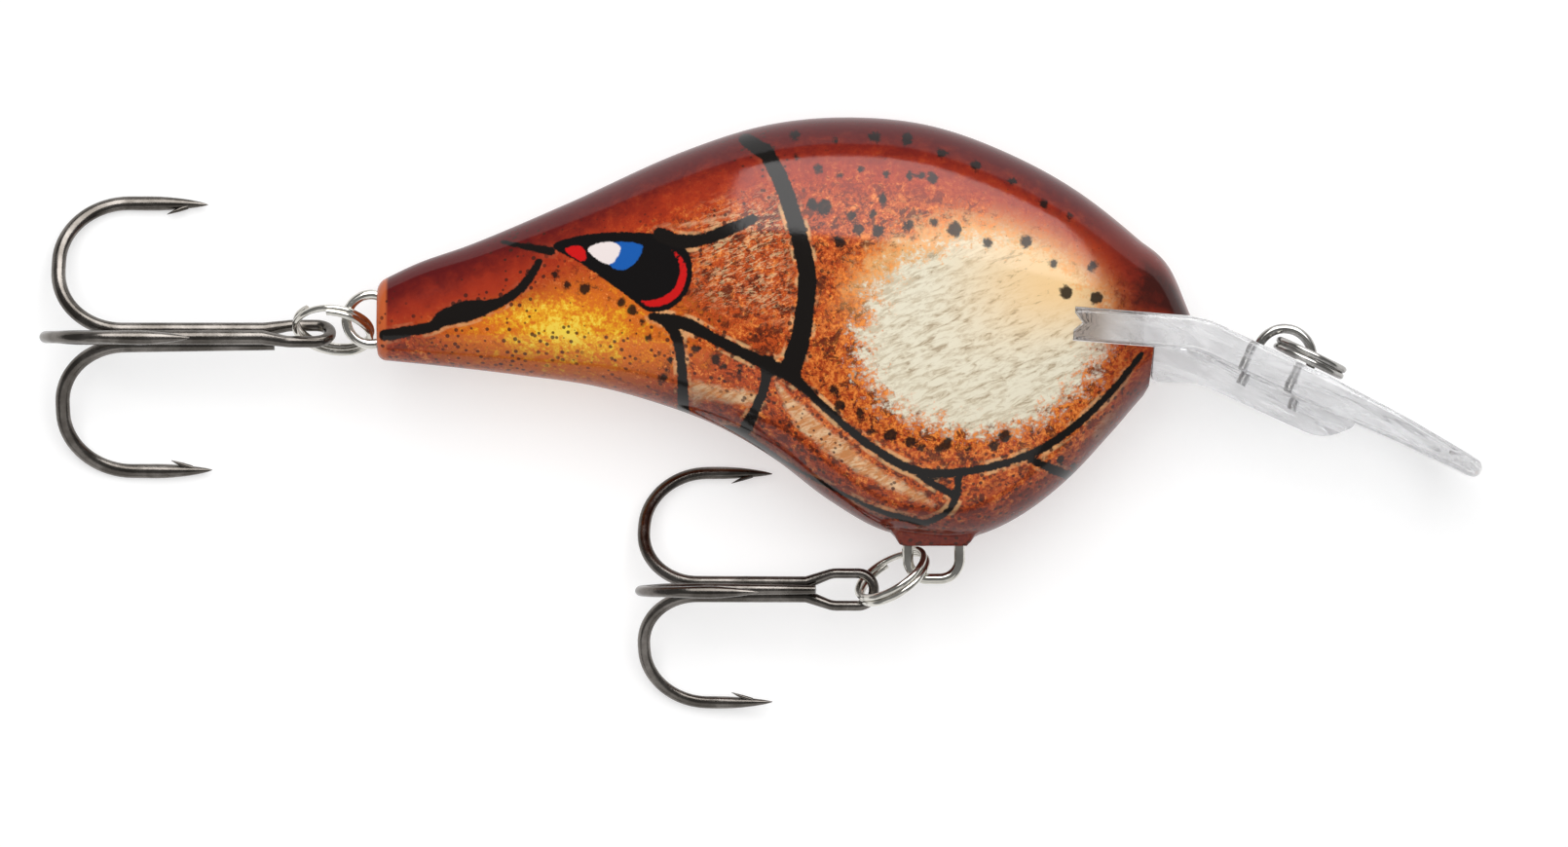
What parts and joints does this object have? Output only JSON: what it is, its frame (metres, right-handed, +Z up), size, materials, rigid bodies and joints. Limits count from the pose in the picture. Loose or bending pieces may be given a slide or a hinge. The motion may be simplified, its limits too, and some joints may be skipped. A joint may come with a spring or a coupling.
{
  "type": "crankbait lure",
  "caption": "Round-bodied diving fishing lure with a clear lip, an internal rattle and two treble hooks on split rings, lying on its side.",
  "frame": {"origin": "centre of the whole object's box in X and Y, on the surface that the lure lies on", "axes": "+X towards the nose and lip, +Y towards the back, +Z up through the lure's left flank"},
  "size_m": [0.1064, 0.044, 0.0184],
  "materials": {
    "lacquered_wood": "painted in orange, maroon and cream with black lines, under clear gloss lacquer",
    "clear_plastic": "clear moulded plastic",
    "nickel_wire": "bright nickel plate",
    "black_nickel": "black nickel plate",
    "lead": "dull cast metal",
    "brass_tube": "drawn tube",
    "white_plastic": "moulded",
    "steel_ball": "polished"
  },
  "bodies": {
    "lure": {"body_left_half": "lacquered_wood", "body_right_half": "lacquered_wood", "lip": "clear_plastic", "line_tie_wire": "nickel_wire", "belly_hanger": "nickel_wire", "tail_hanger": "nickel_wire", "ballast": "lead", "rattle_tube": "brass_tube", "rattle_plug_rear": "white_plastic", "rattle_plug_front": "white_plastic"},
    "belly_ring": {"belly_ring": "nickel_wire"},
    "belly_treble": {"belly_double_hook": "black_nickel", "belly_single_hook": "black_nickel"},
    "tail_ring": {"tail_ring": "nickel_wire"},
    "tail_treble": {"tail_double_hook": "black_nickel", "tail_single_hook": "black_nickel"},
    "line_tie_ring": {"line_tie_ring": "nickel_wire"},
    "rattle_ball_1": {"rattle_ball_1": "steel_ball"},
    "rattle_ball_2": {"rattle_ball_2": "steel_ball"},
    "rattle_ball_3": {"rattle_ball_3": "steel_ball"}
  },
  "joints": [
    {"name": "belly_ring_swing", "type": "hinge", "parent": "lure", "child": "belly_ring", "pos_m": [0.01192, -0.0108, 0.00928], "axis": [0, 0, 1], "range_deg": [0, 120]},
    {"name": "belly_treble_swing", "type": "hinge", "parent": "belly_ring", "child": "belly_treble", "pos_m": [0.00711, -0.01292, 0.00735], "axis": [0.1428, 0.5133, -0.8462], "range_deg": [-55, 10]},
    {"name": "tail_ring_swing", "type": "hinge", "parent": "lure", "child": "tail_ring", "pos_m": [-0.0293, 0.00668, 0.00928], "axis": [0, 0, 1], "range_deg": [-60, 15]},
    {"name": "tail_treble_swing", "type": "hinge", "parent": "tail_ring", "child": "tail_treble", "pos_m": [-0.03431, 0.00601, 0.00687], "axis": [-0.4243, 0.5277, 0.7359], "range_deg": [-60, 60]},
    {"name": "line_tie_ring_swing", "type": "hinge", "parent": "lure", "child": "line_tie_ring", "pos_m": [0.03797, 0.00535, 0.00928], "axis": [0, 0, 1], "range_deg": [0, 150]},
    {"name": "rattle_ball_1_roll", "type": "slide", "parent": "lure", "child": "rattle_ball_1", "axis": [1, 0, 0], "range_m": [0, 0.0028]},
    {"name": "rattle_ball_2_roll", "type": "slide", "parent": "lure", "child": "rattle_ball_2", "axis": [1, 0, 0], "range_m": [0, 0.0028]},
    {"name": "rattle_ball_3_roll", "type": "slide", "parent": "lure", "child": "rattle_ball_3", "axis": [1, 0, 0], "range_m": [0, 0.0028]}
  ],
  "couplings": [
    {"joint": "rattle_ball_2_roll", "follows": "rattle_ball_1_roll", "ratio": 1},
    {"joint": "rattle_ball_3_roll", "follows": "rattle_ball_1_roll", "ratio": 1}
  ]
}
